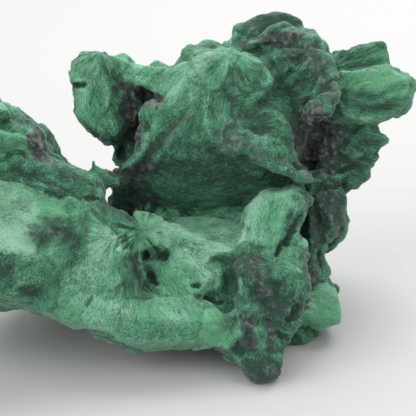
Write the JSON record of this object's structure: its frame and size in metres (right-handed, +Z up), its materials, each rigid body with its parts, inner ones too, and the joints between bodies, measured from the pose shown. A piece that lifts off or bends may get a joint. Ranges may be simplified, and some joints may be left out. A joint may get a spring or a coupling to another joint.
{
  "type": "malachite specimen",
  "caption": "Rugged display specimen of fibrous green malachite: a thick arm joined to a tall folded head with a deep velvety cup and dark crusted ridges.",
  "frame": {"origin": "centre of the specimen's bounding box in plan, at the surface it rests on", "axes": "+Z up; +X from the arm towards the head, along the longest extent; -Y out of the face with the cup"},
  "size_m": [0.1036, 0.066, 0.0612],
  "materials": {
    "malachite": "matte velvety fibrous mineral, mint to deep green with grey-black crust"
  },
  "bodies": {
    "root": {"malachite": "malachite"}
  },
  "joints": []
}
